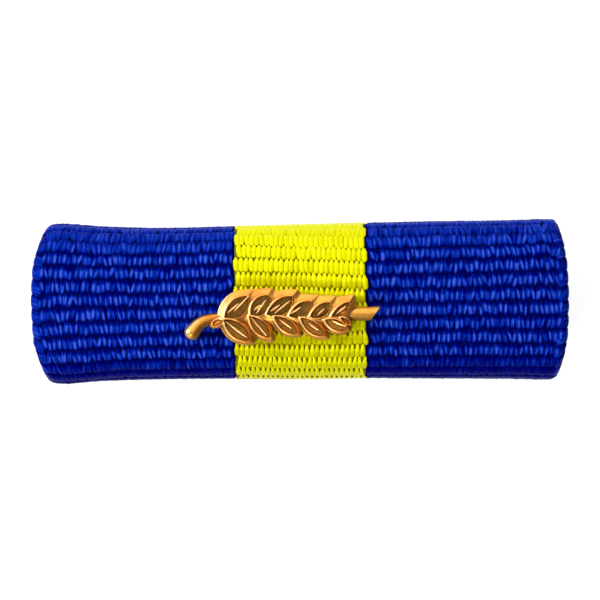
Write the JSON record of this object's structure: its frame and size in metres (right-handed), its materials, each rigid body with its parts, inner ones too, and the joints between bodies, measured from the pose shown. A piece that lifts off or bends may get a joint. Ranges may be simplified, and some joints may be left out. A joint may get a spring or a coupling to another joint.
{
  "type": "ribbon bar",
  "caption": "Ribbon bar: ribbed woven ribbon with a middle stripe wrapped over a metal bar, a cast leaf sprig on its front and a pin fitting on its back.",
  "frame": {"origin": "on the surface that the bar rests on, under the middle of its box", "axes": "+X along the bar, to the right as its front is read; +Y to its upper edge; +Z out of its front"},
  "size_m": [0.035, 0.0106, 0.0073],
  "materials": {
    "bar_steel": "stamped sheet steel, bright nickel plated",
    "ribbon_cloth": "warp-faced ribbed weave of bright filament yarn, blue with a yellow middle stripe",
    "sprig_bronze": "cast, gilt and polished on the raised rims",
    "pin_nickel": "nickel plated steel, bright"
  },
  "bodies": {
    "root": {"mounting_bar": "bar_steel", "ribbon": "ribbon_cloth", "leaf_sprig": "sprig_bronze", "brooch_pin": "pin_nickel"}
  },
  "joints": []
}
